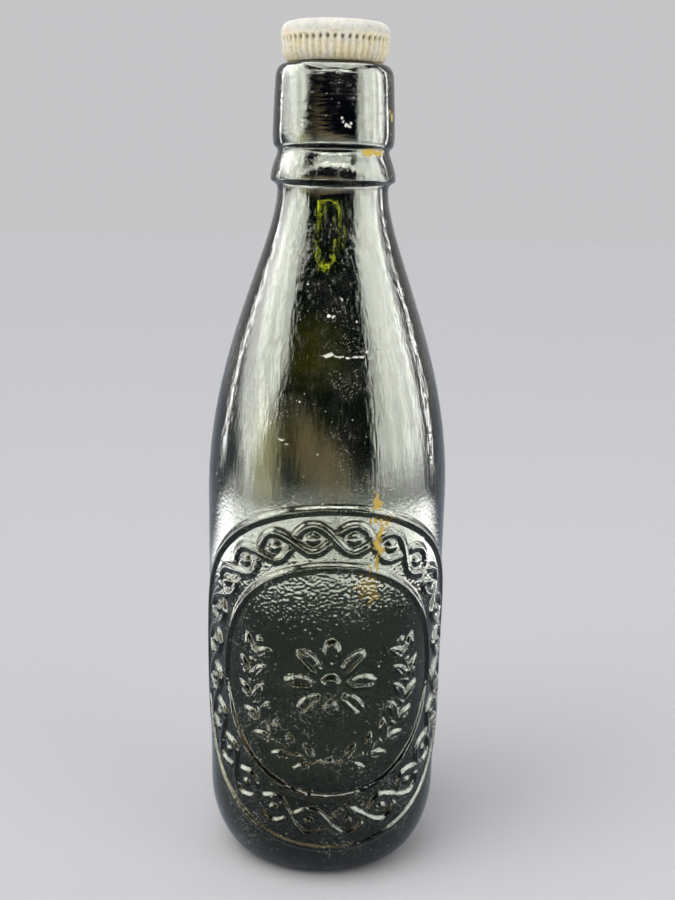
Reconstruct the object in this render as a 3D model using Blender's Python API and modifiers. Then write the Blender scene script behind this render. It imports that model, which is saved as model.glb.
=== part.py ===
"""Glass beer bottle closed by an internal screw stopper with a rubber ring.

The bottle stands at the origin, its axis along +Z. The raised rings are on its front, towards -Y.
Lengths are in metres. Heights of the closure are measured from the top of the lip.
"""
import math

import bmesh
import bpy
from mathutils import Matrix, Vector

# Bottle, outside
HEEL_HEIGHT = 0.0238
HEEL_WIDTH = 0.0141
BODY_FOOT_RADIUS = 0.0360
BODY_SHOULDER_RADIUS = 0.0373
BODY_HEIGHT = 0.1185
SHOULDER_RISE = 0.0925
SHOULDER_HANDLE_SHARE = 0.464
NECK_HANDLE_SHARE = 0.181
COLLAR_HEIGHT = 0.0114
COLLAR_PROJECTION = 0.00215
LIP_HEIGHT = 0.0248
LIP_EDGE_HEIGHT = 0.0042
LIP_EDGE_WIDTH = 0.0026
LIP_WALL = 0.00405
LIP_SHRINK = 0.0006
BEARING_WIDTH = 0.0036
PUSH_UP_HEIGHT = 0.0110

# Bottle, inside
BODY_WALL = 0.0038
FLOOR_THICKNESS = 0.0071
FLOOR_VALLEY_WIDTH = 0.0082
INNER_HEEL_RISE = 0.0145
NECK_WALL = 0.0042
BORE_WALL = 0.0074
BORE_FLARE_HEIGHT = 0.0085
SEAT_DEPTH = 0.0052

# Raised work on the front, measured on the unrolled surface
RINGS_CENTRE_HEIGHT = 0.0664
OUTER_RING_RADIUS = 0.0535
INNER_RING_RADIUS = 0.0363
RING_WIDTH = 0.0028
RING_HEIGHT = 0.0008
RINGS_TURN_DEGREES = 4.0
PLAIT_RADIUS = 0.0449
PLAIT_SWING = 0.0041
PLAIT_WAVES = 12
STRAND_WIDTH = 0.0026
WREATH_RADIUS = 0.0252
WREATH_START = 0.0040
LEAF_PAIRS = 7
LEAF_SPACING = 0.0069
LEAF_LENGTH = 0.0074
LEAF_WIDTH = 0.0032
LEAF_LEAN_DEGREES = 36.0
LEAF_OFFSET = 0.00245
PETAL_COUNT = 8
PETAL_REACH = 0.0094
PETAL_LENGTH = 0.0092
PETAL_WIDTH = 0.0054
BOSS_RADIUS = 0.0030
RELIEF_HEIGHT = 0.0008
RELIEF_SINK = 0.0006

# Stopper
SHANK_RADIUS = 0.0090
THREAD_PITCH = 0.00635
THREAD_TURNS = 3.2
THREAD_RIB_RADIUS = 0.0015
THREAD_START_GAP = 0.0008
TIP_LENGTH = 0.0045
TIP_TAPER = 0.0020
HEAD_GAP = 0.0005
HEAD_HEIGHT = 0.0115
HEAD_OVERHANG = 0.00185
FLUTE_COUNT = 46
FLUTE_DEPTH = 0.0006
FLUTE_TOP_SHARE = 0.63
FLUTE_WIDTH_SHARE = 0.66

# Rubber ring and clearances
RUBBER_WIDTH = 0.0048
SEAT_GAP = 0.0003
THREAD_CLEARANCE = 0.00035
BORE_CLEARANCE = 0.00045
CUT_OVERRUN = 0.0010

# Fineness of the faceted surfaces
BOTTLE_STEPS = 36
RUBBER_STEPS = 36
HEEL_STEPS = 5
SHOULDER_STEPS = 9
FLOOR_STEPS = 4
EDGE_STEPS = 3
SECTION_STEPS = 10
THREAD_STEPS_PER_TURN = 24
OUTER_RING_STEPS = 72
INNER_RING_STEPS = 48
PLAIT_STEPS = 60
MERGE_DISTANCE = 0.00001

# Outlines as shares of height and of projection, from below upwards
COLLAR_SHARES = [(0.10, 0.22), (0.19, 0.88), (0.26, 1.0), (0.40, 0.94), (0.64, 0.60), (0.86, 0.17), (1.0, 0.08)]
LIP_SHARES = [(0.05, 0.76), (0.14, 1.0), (0.25, 1.0)]
HEAD_SIDE_SHARES = [(0.20, 0.966), (0.40, 0.988), (0.62, 1.0)]
HEAD_SHARES = [(0.0, 0.87), (0.07, 0.92)] + HEAD_SIDE_SHARES + [(0.80, 0.995), (0.90, 0.967), (0.965, 0.92), (1.0, 0.85)]
RIB_FADE_SHARES = [0.25, 0.55, 0.85]
RELIEF_FOOT_SHARE = 1.1
RELIEF_CROWN_SHARE = 0.62

# Sizes that follow from the ones above
bore_radius = SHANK_RADIUS + BORE_CLEARANCE
rubber_inner_radius = SHANK_RADIUS + SEAT_GAP
rubber_outer_radius = rubber_inner_radius + RUBBER_WIDTH
seat_radius = rubber_outer_radius + SEAT_GAP
neck_radius = bore_radius + BORE_WALL
collar_base = BODY_HEIGHT + SHOULDER_RISE
lip_base = collar_base + COLLAR_HEIGHT
bottle_height = lip_base + LIP_HEIGHT
lip_radius = seat_radius + LIP_WALL
head_radius = seat_radius + HEAD_OVERHANG
base_radius = BODY_FOOT_RADIUS - HEEL_WIDTH
thread_length = THREAD_PITCH * THREAD_TURNS
thread_top = -SEAT_DEPTH - THREAD_START_GAP - THREAD_RIB_RADIUS
thread_bottom = thread_top - thread_length
shank_bottom = thread_bottom - THREAD_RIB_RADIUS
stopper_tip = shank_bottom - TIP_LENGTH
bore_bottom = stopper_tip + TIP_LENGTH / 2
head_bottom = HEAD_GAP
head_top = HEAD_GAP + HEAD_HEIGHT


def bezier(start, start_handle, end_handle, end, steps):
    """Points of a cubic Bezier curve from start to end."""
    points = []
    for step in range(steps + 1):
        t = step / steps
        weights = ((1 - t) ** 3, 3 * t * (1 - t) ** 2, 3 * t ** 2 * (1 - t), t ** 3)
        corners = (start, start_handle, end_handle, end)
        points.append(tuple(sum(w * c[axis] for w, c in zip(weights, corners)) for axis in (0, 1)))
    return points


def quarter_ellipse(centre, width, height, start_degrees, end_degrees, steps):
    """Points (radius, height) on an ellipse round centre, from one angle to another."""
    points = []
    for step in range(steps + 1):
        angle = math.radians(start_degrees + (end_degrees - start_degrees) * step / steps)
        points.append((centre[0] + width * math.cos(angle), centre[1] + height * math.sin(angle)))
    return points


def shoulder_curve(wide_radius, narrow_radius, low, high, steps):
    """The shoulder's long S, upright at the body and at the neck."""
    rise = high - low
    start_handle = (wide_radius, low + rise * SHOULDER_HANDLE_SHARE)
    end_handle = (narrow_radius, high - rise * NECK_HANDLE_SHARE)
    return bezier((wide_radius, low), start_handle, end_handle, (narrow_radius, high), steps)


def outside_of_body():
    """Heel and shoulder of the bottle, from the bearing edge up to the collar."""
    heel_centre = (base_radius, HEEL_HEIGHT)
    heel = quarter_ellipse(heel_centre, HEEL_WIDTH, HEEL_HEIGHT, -90, 0, HEEL_STEPS)
    shoulder = shoulder_curve(BODY_SHOULDER_RADIUS, neck_radius, BODY_HEIGHT, collar_base, SHOULDER_STEPS)
    return heel + shoulder


def outside_of_finish():
    """Collar, groove and lip, from the neck up to the inner edge of the lip's top."""
    collar = [(neck_radius + COLLAR_PROJECTION * out, collar_base + COLLAR_HEIGHT * up) for up, out in COLLAR_SHARES]
    lip_projection = lip_radius - neck_radius
    lip = [(neck_radius + lip_projection * out, lip_base + LIP_HEIGHT * up) for up, out in LIP_SHARES]
    edge_centre = (lip_radius - LIP_SHRINK - LIP_EDGE_WIDTH, bottle_height - LIP_EDGE_HEIGHT)
    edge = quarter_ellipse(edge_centre, LIP_EDGE_WIDTH, LIP_EDGE_HEIGHT, 0, 90, EDGE_STEPS)
    return collar + lip + edge


def inside_of_finish():
    """Rubber seat and threaded bore, from the lip's top down to the neck's hollow."""
    seat_floor = bottle_height - SEAT_DEPTH
    seat_width = (seat_radius - bore_radius) / 2
    seat_round = SEAT_DEPTH / 2
    seat_centre = (seat_radius - seat_width, seat_floor + seat_round)
    seat = [(seat_radius, bottle_height)]
    seat += quarter_ellipse(seat_centre, seat_width, seat_round, 0, -90, EDGE_STEPS)
    bore_end = bottle_height + bore_bottom
    bore = [(bore_radius, seat_floor), (bore_radius, bore_end)]
    hollow_radius = neck_radius - NECK_WALL
    flare = []
    for step in range(1, EDGE_STEPS + 1):
        turn = math.pi * step / EDGE_STEPS
        out = (1 - math.cos(turn)) / 2
        flare.append((bore_radius + (hollow_radius - bore_radius) * out, bore_end - BORE_FLARE_HEIGHT * step / EDGE_STEPS))
    return seat + bore + flare


def inside_of_body():
    """Hollow of the shoulder and body, from the neck down to the middle of the floor."""
    hollow_radius = neck_radius - NECK_WALL
    flare_end = bottle_height + bore_bottom - BORE_FLARE_HEIGHT
    wide = BODY_SHOULDER_RADIUS - BODY_WALL
    shoulder = shoulder_curve(wide, hollow_radius, BODY_HEIGHT, flare_end, SHOULDER_STEPS)
    shoulder.reverse()
    foot_radius = BODY_FOOT_RADIUS - BODY_WALL
    valley_radius = foot_radius - FLOOR_VALLEY_WIDTH
    heel_centre = (valley_radius, FLOOR_THICKNESS + INNER_HEEL_RISE)
    heel = quarter_ellipse(heel_centre, FLOOR_VALLEY_WIDTH, INNER_HEEL_RISE, 0, -90, HEEL_STEPS)
    floor = []
    for step in range(1, FLOOR_STEPS + 1):
        inward = step / FLOOR_STEPS
        lift = (1 - math.cos(math.pi * inward)) / 2
        floor.append((valley_radius * (1 - inward), FLOOR_THICKNESS + PUSH_UP_HEIGHT * lift))
    return shoulder[1:] + heel + floor


def underside():
    """The push-up under the bottle, from its middle out to the flat ring that it stands on."""
    edge_radius = base_radius - BEARING_WIDTH
    points = []
    for step in range(FLOOR_STEPS + 1):
        out = step / FLOOR_STEPS
        points.append((edge_radius * out, PUSH_UP_HEIGHT * math.cos(math.pi * out / 2)))
    points[-1] = (edge_radius, 0)
    return points


def body_radius_at(height):
    """Outer radius of the heel, body and shoulder at a height."""
    points = outside_of_body()
    for (low_radius, low), (high_radius, high) in zip(points, points[1:]):
        if low <= height <= high:
            return low_radius + (high_radius - low_radius) * (height - low) / (high - low)
    return points[-1][0]


def material(name, colour, roughness, transmission=0.0):
    """A Principled material in one colour."""
    made = bpy.data.materials.new(name)
    made.use_nodes = True
    shader = made.node_tree.nodes["Principled BSDF"]
    shader.inputs["Base Color"].default_value = (*colour, 1)
    shader.inputs["Roughness"].default_value = roughness
    shader.inputs["Metallic"].default_value = 0
    shader.inputs["Transmission Weight"].default_value = transmission
    return made


def add_object(name, mesh, collection, height=0.0, parent=None):
    """An object on the bottle's axis, its origin at a height above its parent."""
    obj = bpy.data.objects.new(name, mesh)
    collection.objects.link(obj)
    obj.parent = parent
    obj.location = (0, 0, height)
    return obj


def turned(name, outline, steps, collection, height=0.0, parent=None, closed=False):
    """A solid turned round Z from an outline of (radius, height) that runs down its outer side."""
    mesh = bpy.data.meshes.new(name)
    edges = [(index, index + 1) for index in range(len(outline) - 1)]
    if closed:
        edges.append((len(outline) - 1, 0))
    mesh.from_pydata([(radius, 0, z) for radius, z in outline], edges, [])
    obj = add_object(name, mesh, collection, height, parent)
    screw = obj.modifiers.new("turn", "SCREW")
    screw.steps = steps
    screw.render_steps = steps
    screw.use_merge_vertices = True
    screw.merge_threshold = MERGE_DISTANCE
    return obj


def tube(name, points, radius, collection, sides_step, closed=False, shares=None, height=0.0):
    """A round tube along points, as a closed mesh that a Boolean can use."""
    curve = bpy.data.curves.new(name, "CURVE")
    curve.dimensions = "3D"
    curve.bevel_depth = radius
    curve.bevel_resolution = sides_step
    curve.use_fill_caps = not closed
    spline = curve.splines.new("POLY")
    spline.points.add(len(points) - 1)
    spline.use_cyclic_u = closed
    for index, (x, y, z) in enumerate(points):
        spline.points[index].co = (x, y, z, 1)
        spline.points[index].radius = shares[index] if shares else 1
    guide = bpy.data.objects.new(name, curve)
    collection.objects.link(guide)
    bpy.context.view_layer.update()
    evaluated = guide.evaluated_get(bpy.context.evaluated_depsgraph_get())
    mesh = bpy.data.meshes.new_from_object(evaluated)
    bpy.data.objects.remove(guide)
    welded = bmesh.new()
    welded.from_mesh(mesh)
    bmesh.ops.remove_doubles(welded, verts=welded.verts, dist=MERGE_DISTANCE)
    bmesh.ops.recalc_face_normals(welded, faces=welded.faces)
    welded.to_mesh(mesh)
    welded.free()
    return as_tool(add_object(name, mesh, collection, height))


def as_tool(obj):
    """Marks a shape that only cuts or joins another."""
    obj.hide_render = True
    obj.display_type = "WIRE"
    return obj


def combine(obj, tool, operation):
    """Cuts a tool from an object, or joins it on."""
    boolean = obj.modifiers.new(tool.name, "BOOLEAN")
    boolean.operation = operation
    boolean.object = tool
    boolean.solver = "EXACT"


def helix(radius, low, high):
    """Points of the right-hand thread between two heights; it climbs one pitch in a turn."""
    count = math.ceil((high - low) / THREAD_PITCH * THREAD_STEPS_PER_TURN)
    points = []
    for index in range(count + 1):
        z = low + (high - low) * index / count
        angle = 2 * math.pi * (z - thread_bottom) / THREAD_PITCH
        points.append((radius * math.cos(angle), radius * math.sin(angle), z))
    return points


def wrapped(reach, angle, lift):
    """A point of the body's front, at a polar place round the rings' centre, lifted above the surface."""
    z = RINGS_CENTRE_HEIGHT + reach * math.sin(angle)
    around = math.radians(RINGS_TURN_DEGREES - 90) + reach * math.cos(angle) / BODY_FOOT_RADIUS
    radius = body_radius_at(z) + lift
    return Vector((radius * math.cos(around), radius * math.sin(around), z))


def ring_path(ring_radius, sink, steps, swing=0.0, waves=0):
    """A circle wrapped round the body's front, its points a little inside the surface. It may swing in waves."""
    points = []
    for step in range(steps):
        angle = 2 * math.pi * step / steps
        points.append(wrapped(ring_radius + swing * math.sin(waves * angle), angle, -sink))
    return points


def ridge_round(width, height):
    """Radius of a round tube that stands out of a surface as a ridge, and how far its middle lies below."""
    radius = (width ** 2 / 4 + height ** 2) / (2 * height)
    return radius, radius - height


def add_lump(lumps, reach, angle, along, length, width, sides):
    """A low flat-topped lump on the front, its length along a direction on the unrolled surface."""
    place = wrapped(reach, angle, (RELIEF_HEIGHT - RELIEF_SINK) / 2)
    outward = Vector((place.x, place.y, 0)).normalized()
    level = Vector((-outward.y, outward.x, 0))
    forward = level * math.cos(along) + Vector((0, 0, 1)) * math.sin(along)
    turn = Matrix((forward, outward.cross(forward), outward)).transposed().to_4x4()
    stretch = Matrix.Diagonal((length / 2, width / 2, 1, 1))
    bmesh.ops.create_cone(
        lumps, cap_ends=True, segments=sides, radius1=RELIEF_FOOT_SHARE, radius2=RELIEF_CROWN_SHARE,
        depth=RELIEF_HEIGHT + RELIEF_SINK, matrix=Matrix.Translation(place) @ turn @ stretch
    )


def ornaments(tools):
    """Leaves of the wreath, and petals and boss of the rosette, as one mesh."""
    lumps = bmesh.new()
    for index in range(PETAL_COUNT):
        angle = 2 * math.pi * index / PETAL_COUNT
        add_lump(lumps, PETAL_REACH, angle, angle, PETAL_LENGTH, PETAL_WIDTH, 8)
    add_lump(lumps, 0, 0, 0, 2 * BOSS_RADIUS, 2 * BOSS_RADIUS, 8)
    lean = math.radians(LEAF_LEAN_DEGREES)
    for index in range(LEAF_PAIRS):
        arc = WREATH_START + LEAF_SPACING * index + LEAF_LENGTH / 2 * math.cos(lean)
        for spray in (1, -1):
            angle = spray * arc / WREATH_RADIUS - math.pi / 2
            for side in (1, -1):
                reach = WREATH_RADIUS + side * LEAF_OFFSET
                along = angle + spray * (math.pi / 2 - side * lean)
                add_lump(lumps, reach, angle, along, LEAF_LENGTH, LEAF_WIDTH, 4)
    mesh = bpy.data.meshes.new("ornaments")
    lumps.to_mesh(mesh)
    lumps.free()
    return as_tool(add_object("ornaments", mesh, tools))


def make_bottle(collection, tools):
    """The bottle with its raised rings and the thread inside its mouth."""
    outside = outside_of_body() + outside_of_finish()
    outside.reverse()
    inside = inside_of_finish() + inside_of_body()
    inside.reverse()
    base = underside()
    base.reverse()
    bottle = turned("glass_bottle", inside + outside + base, BOTTLE_STEPS, collection)
    bottle.data.materials.append(material("dark_olive_glass", (0.03, 0.045, 0.02), 0.06, 0.9))
    ridge_radius, sink = ridge_round(RING_WIDTH, RING_HEIGHT)
    rings = (("outer_ring", OUTER_RING_RADIUS, OUTER_RING_STEPS), ("inner_ring", INNER_RING_RADIUS, INNER_RING_STEPS))
    for name, ring_radius, steps in rings:
        path = ring_path(ring_radius, sink, steps)
        combine(bottle, tube(name, path, ridge_radius, tools, 1, closed=True), "UNION")
    strand_radius, sink = ridge_round(STRAND_WIDTH, RELIEF_HEIGHT)
    for name, swing in (("first_strand", PLAIT_SWING), ("second_strand", -PLAIT_SWING)):
        path = ring_path(PLAIT_RADIUS, sink, PLAIT_STEPS, swing, PLAIT_WAVES)
        combine(bottle, tube(name, path, strand_radius, tools, 0, closed=True), "UNION")
    combine(bottle, ornaments(tools), "UNION")
    groove_path = helix(SHANK_RADIUS, bore_bottom - THREAD_PITCH / 2, -SEAT_DEPTH + THREAD_PITCH / 2)
    groove_radius = THREAD_RIB_RADIUS + THREAD_CLEARANCE
    groove = tube("thread_groove", groove_path, groove_radius, tools, 2, height=bottle_height)
    combine(bottle, groove, "DIFFERENCE")
    return bottle


def make_rubber_ring(collection, mouth):
    """The rubber ring that the head presses into its seat."""
    low = -SEAT_DEPTH + SEAT_GAP
    high = head_bottom - SEAT_GAP
    centre = ((rubber_inner_radius + rubber_outer_radius) / 2, (low + high) / 2)
    width = RUBBER_WIDTH / 2
    section = quarter_ellipse(centre, width, (high - low) / 2, 90, 90 - 360, SECTION_STEPS)[:-1]
    ring = turned("rubber_ring", section, RUBBER_STEPS, collection, parent=mouth, closed=True)
    ring.data.materials.append(material("dark_rubber", (0.03, 0.02, 0.015), 0.7))
    return ring


def flute_cutter(tools, mouth):
    """Small round bars that cut the finger grip, leaning with the head's side."""
    spacing = 2 * math.pi * head_radius / FLUTE_COUNT
    bar_radius = spacing * FLUTE_WIDTH_SHARE / 2
    low_share, low_out = HEAD_SIDE_SHARES[0]
    high_share, high_out = HEAD_SIDE_SHARES[-1]
    lean = math.atan2(head_radius * (high_out - low_out), HEAD_HEIGHT * (high_share - low_share))
    top = head_bottom + HEAD_HEIGHT * FLUTE_TOP_SHARE
    bottom = head_bottom - CUT_OVERRUN
    side_radius = head_radius * (low_out + high_out) / 2
    side_height = head_bottom + HEAD_HEIGHT * (low_share + high_share) / 2
    middle = (top + bottom) / 2
    reach = side_radius + (middle - side_height) * math.tan(lean) + bar_radius - FLUTE_DEPTH
    bars = bmesh.new()
    for index in range(FLUTE_COUNT):
        place = Matrix.Rotation(2 * math.pi * (index + 1 / 2) / FLUTE_COUNT, 4, "Z")
        place @= Matrix.Translation((reach, 0, middle)) @ Matrix.Rotation(lean, 4, "Y")
        bmesh.ops.create_cone(
            bars, cap_ends=True, segments=6, radius1=bar_radius, radius2=bar_radius, depth=top - bottom, matrix=place
        )
    mesh = bpy.data.meshes.new("flutes")
    bars.to_mesh(mesh)
    bars.free()
    return as_tool(add_object("flutes", mesh, tools, parent=mouth))


def make_stopper(collection, tools, mouth):
    """The turned stopper: fluted head, plain shank and a rounded right-hand thread."""
    head = [(head_radius * out, head_bottom + HEAD_HEIGHT * up) for up, out in HEAD_SHARES]
    head.reverse()
    tip = quarter_ellipse((SHANK_RADIUS - TIP_TAPER, shank_bottom), TIP_TAPER, TIP_LENGTH, 0, -90, EDGE_STEPS)
    outline = [(0, head_top)] + head + [(SHANK_RADIUS, head_bottom)] + tip + [(0, stopper_tip)]
    stopper = turned("screw_stopper", outline, FLUTE_COUNT, collection, parent=mouth)
    stopper.data.materials.append(material("weathered_ebonite", (0.30, 0.29, 0.22), 0.75))
    path = helix(SHANK_RADIUS, thread_bottom, thread_top)
    fade = RIB_FADE_SHARES + [1] * (len(path) - 2 * len(RIB_FADE_SHARES)) + RIB_FADE_SHARES[::-1]
    rib = tube("thread_rib", path, THREAD_RIB_RADIUS, tools, 2, shares=fade, height=bottle_height)
    combine(stopper, rib, "UNION")
    combine(stopper, flute_cutter(tools, mouth), "DIFFERENCE")
    return stopper


def main():
    for obj in list(bpy.data.objects):
        bpy.data.objects.remove(obj)
    parts = bpy.data.collections.new("screw_stopper_beer_bottle")
    tools = bpy.data.collections.new("cutters_and_guides")
    bpy.context.scene.collection.children.link(parts)
    bpy.context.scene.collection.children.link(tools)
    mouth = add_object("mouth", None, parts, bottle_height)
    make_bottle(parts, tools)
    make_rubber_ring(parts, mouth)
    make_stopper(parts, tools, mouth)


main()
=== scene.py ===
import itertools
import math

import bpy
import numpy as np
from mathutils import Matrix, Vector


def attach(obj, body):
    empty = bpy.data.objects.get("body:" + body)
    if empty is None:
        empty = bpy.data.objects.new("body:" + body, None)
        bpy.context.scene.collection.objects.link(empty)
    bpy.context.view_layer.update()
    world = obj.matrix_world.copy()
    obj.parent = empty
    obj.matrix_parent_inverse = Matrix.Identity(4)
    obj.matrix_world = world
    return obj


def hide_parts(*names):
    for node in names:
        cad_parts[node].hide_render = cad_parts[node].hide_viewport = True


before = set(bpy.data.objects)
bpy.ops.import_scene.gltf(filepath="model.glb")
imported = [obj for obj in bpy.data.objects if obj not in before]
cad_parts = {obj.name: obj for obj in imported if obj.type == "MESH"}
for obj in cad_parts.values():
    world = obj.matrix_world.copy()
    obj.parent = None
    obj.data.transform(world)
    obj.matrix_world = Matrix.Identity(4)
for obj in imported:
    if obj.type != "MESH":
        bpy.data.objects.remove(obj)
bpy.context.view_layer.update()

MM = 0.001
TAU = 2 * math.pi

# Outline of the glass, as in the CAD part
HEEL_HEIGHT, HEEL_WIDTH, FOOT_RADIUS = 23.8, 14.1, 36.0
SHOULDER_RADIUS, BODY_HEIGHT, SHOULDER_RISE = 37.3, 118.5, 92.5
SHOULDER_HANDLE, NECK_HANDLE = 0.464, 0.181
NECK_RADIUS, COLLAR_HEIGHT, COLLAR_PROJECTION = 16.85, 11.4, 2.15
COLLAR_SHARES = (
    (0.10, 0.22), (0.19, 0.88), (0.26, 1.0), (0.40, 0.94), (0.64, 0.60), (0.86, 0.17), (1.0, 0.08),
)
LIP_RADIUS, LIP_HEIGHT, LIP_SHRINK = 18.45, 24.8, 0.6
LIP_FOOT_SHARES = ((0.05, 0.76), (0.14, 1.0), (0.25, 1.0))
LIP_WAIST, LIP_WAIST_SHARE = 0.25, 0.55
LIP_EDGE_WIDTH, LIP_EDGE_HEIGHT = 2.6, 4.2
COLLAR_BASE = BODY_HEIGHT + SHOULDER_RISE
LIP_BASE = COLLAR_BASE + COLLAR_HEIGHT
MOUTH = LIP_BASE + LIP_HEIGHT
BASE_RADIUS = FOOT_RADIUS - HEEL_WIDTH
BEARING_WIDTH, PUSH_UP = 3.6, 11.0
SEAT_RADIUS, SEAT_DEPTH, BORE_RADIUS = 14.4, 5.2, 9.45
BORE_END, FLARE_HEIGHT, HOLLOW_NECK = -31.57, 8.5, 12.65
WALL, FLOOR_THICKNESS, VALLEY_WIDTH, INNER_HEEL_RISE = 3.8, 7.1, 8.2, 14.5

# Slow waves of hand-finished glass, each as (waves round the bottle, radians a millimetre up, weight).
# The span is twice the weights' sum
GLASS_WAVES = (
    (2, 0.045, 1.0), (3, -0.08, 0.9), (5, 0.03, 0.7), (4, 0.16, 0.6), (7, -0.11, 0.5), (9, 0.21, 0.35),
    (6, 0.33, 0.3),
)
WAVE_SPAN, WAVE_SHIFT = 8.7, 1.7
OUTER_WAVE, OUTER_SEED = 0.12, 1.0
INNER_WAVE, INNER_SEED, INNER_WAVE_RADIUS = 0.9, 2.6, 12

# Thread and stopper
PITCH, THREAD_TOP, THREAD_BOTTOM = 6.35, -7.5, -27.82
THREAD_RUN_IN, THREAD_LEAD = 0.15, 0.02
SHANK_RADIUS, RIB_RADIUS, GROOVE_RADIUS = 9.0, 1.5, 1.85
SHANK_END, TIP_WIDTH, TIP_LENGTH, TIP_FLAT = -29.32, 2.0, 4.5, 1.5
HEAD_RADIUS, HEAD_GAP, HEAD_HEIGHT = 16.25, 0.5, 11.5
HEAD_FOOT = MOUTH + HEAD_GAP
HEAD_SHARES = (
    (0.07, 0.92), (0.20, 0.966), (0.40, 0.988), (0.62, 1.0), (0.80, 0.995), (0.90, 0.967), (0.965, 0.92),
    (0.995, 0.85), (1.0, 0.62), (0.99, 0.4),
)
CROWN_SHARES = ((0.987, 0.34), (0.985, 0.04))
UNDER_SHARE, SIDE_SHARE, EDGE_SHARE, EDGE_RISE = 0.86, 0.88, 0.89, 0.25
FLUTES, FLUTE_DEPTH, FLUTE_RADIUS, FLUTE_TOP_SHARE = 46, 0.6, 0.733, 0.63
FLUTE_TOP_SPREAD, FLUTE_RUN_OUT, FLUTE_RUN_IN = 0.12, 0.8, 0.6
NOTCH_DEPTH, NOTCH_DROP, NOTCH_HEIGHT, NOTCH_WIDTH = 0.35, 0.9, 0.55, 0.4
RIB_WEAR, RIB_WEAR_RUN_OUT, SIDE_WEAR, CROWN_WEAR = 0.10, 1.5, 0.05, 0.02
CRUMBLE_WAVES = ((31, 0.9), (53, -1.7), (19, 2.3), (83, 0.5), (67, 3.1), (11, -0.6))
RUBBER_RADIUS, RUBBER_WIDTH, RUBBER_HEIGHT = 11.7, 4.8, 5.1
RUBBER_GAP, RUBBER_SLACK = 0.3, 0.05

# Medallion on the front, on the surface unrolled at the foot radius. Bars and dots are given as
# (half width, height, flank)
MEDALLION_HEIGHT, MEDALLION_TURN = 66.4, math.radians(4 - 90)
RINGS, RING_BAR = (53.5, 36.3), (1.55, 0.8, 1.3)
BAND_MIDDLE, BAND_SWING, BAND_WAVES = 44.9, 4.1, 12
BAND_HALF_WIDTH, BAND_FADE = 7.1, 0.8
STRAND_BAR, STRAND_GAP, STRAND_FADE = (1.3, 0.8, 0.7), 1.5, 0.5
BEAD_DOT = (2.0, 0.75, 1.0)
PETALS, PETAL_MIDDLE, PETAL_HALF_LENGTH, PETAL_HALF_WIDTH = 8, 9.4, 4.6, 2.7
BOSS_DOT = (3.0, 0.8, 1.1)
WREATH, LEAF_PAIRS, LEAF_SPACING, FIRST_PAIR = 25.2, 7, 6.9, 7.0
STEM_BAR, STEM_START, STEM_END, STEM_FADE = (0.55, 0.45, 0.5), 1, 49.5, 1.5
LEAF_LEAN, LEAF_OFFSET, LEAF_HALF_LENGTH, LEAF_HALF_WIDTH = math.radians(36), 2.45, 3.7, 1.6
BERRY_OFFSET, BERRY_DOT, KNOT_DOT = 3.2, (1.05, 0.6, 0.6), (1.9, 0.75, 0.9)
BLADE_HEIGHT, CREASE_DEPTH = 0.8, 0.4
# Carving of a petal and of a leaf: how far in from the rim it is full, as a share, the crease's width in
# millimetres, and how far in the crease is full, as a share
PETAL_CARVING, LEAF_CARVING = (0.25, 0.45, 0.5), (0.35, 0.38, 0.6)

# Grid of the front: half the width of its square, the radius of the circle where its skirt starts, points
# on each side of the square and round the back, and rings as (first radius, last radius, count)
PANEL, SKIRT_RADIUS, SIDE, BACK = 60.0, 56.2, 136, 68
DISC_RINGS = (0.5, 18.6, 34)
BAND_RINGS = ((19.2, 34.2, 30), (34.6, 38.0, 11), (38.4, 51.2, 31), (51.6, 55.4, 11))
SKIRT_RINGS, SKIRT_GROWTH = 7, 1.4
FIRST_RAY = math.radians(-135)


def bezier(start, leave, arrive, end, count):
    """Cubic Bezier curve: its corners weighted by (1-t)^3, 3t(1-t)^2, 3t^2(1-t) and t^3."""
    t = np.linspace(0, 1, count)[:, None]
    corners = [np.array(corner, float) for corner in (start, leave, arrive, end)]
    weights = ((1 - t) ** 3, 3 * t * (1 - t) ** 2, 3 * t ** 2 * (1 - t), t ** 3)
    return sum(weight * corner for weight, corner in zip(weights, corners))


def ellipse_arc(centre, width, height, start, end, count):
    """Points centre + (width cos a, height sin a), the angle a running evenly between two values in
    degrees."""
    a = np.radians(np.linspace(start, end, count))
    return np.stack([centre[0] + width * np.cos(a), centre[1] + height * np.sin(a)], 1)


def through(points, count):
    """Smooth line through points: between two of them a cubic whose slope at each is half the step between
    its neighbours."""
    p = np.array(points, float)
    p = np.concatenate([2 * p[:1] - p[1:2], p, 2 * p[-1:] - p[-2:-1]])
    before, start, end, after = p[:-3, None], p[1:-2, None], p[2:-1, None], p[3:, None]
    t = np.linspace(0, 1, count, endpoint=False)[None, :, None]
    slope, bend = end - before, 2 * before - 5 * start + 4 * end - after
    twist = 3 * start - before - 3 * end + after
    curve = start + t / 2 * slope + t ** 2 / 2 * bend + t ** 3 / 2 * twist
    return np.concatenate([curve.reshape(-1, 2), p[-2:-1]])


def eased(share):
    """Smooth step: 3s^2 - 2s^3 of a share clipped to 0..1."""
    s = np.clip(share, 0, 1)
    return s * s * (3 - 2 * s)


def shoulder_line(wide, narrow, low, high, count):
    """The shoulder's long S, upright at the body and at the neck."""
    rise = high - low
    leave, arrive = (wide, low + rise * SHOULDER_HANDLE), (narrow, high - rise * NECK_HANDLE)
    return bezier((wide, low), leave, arrive, (narrow, high), count)


def outer_line():
    """Dense (radius, height) outline of the heel, body and shoulder."""
    heel = ellipse_arc((BASE_RADIUS, HEEL_HEIGHT), HEEL_WIDTH, HEEL_HEIGHT, -90, 0, 200)
    return np.concatenate([heel, shoulder_line(SHOULDER_RADIUS, NECK_RADIUS, BODY_HEIGHT, COLLAR_BASE, 400)])


OUTER = outer_line()


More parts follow.
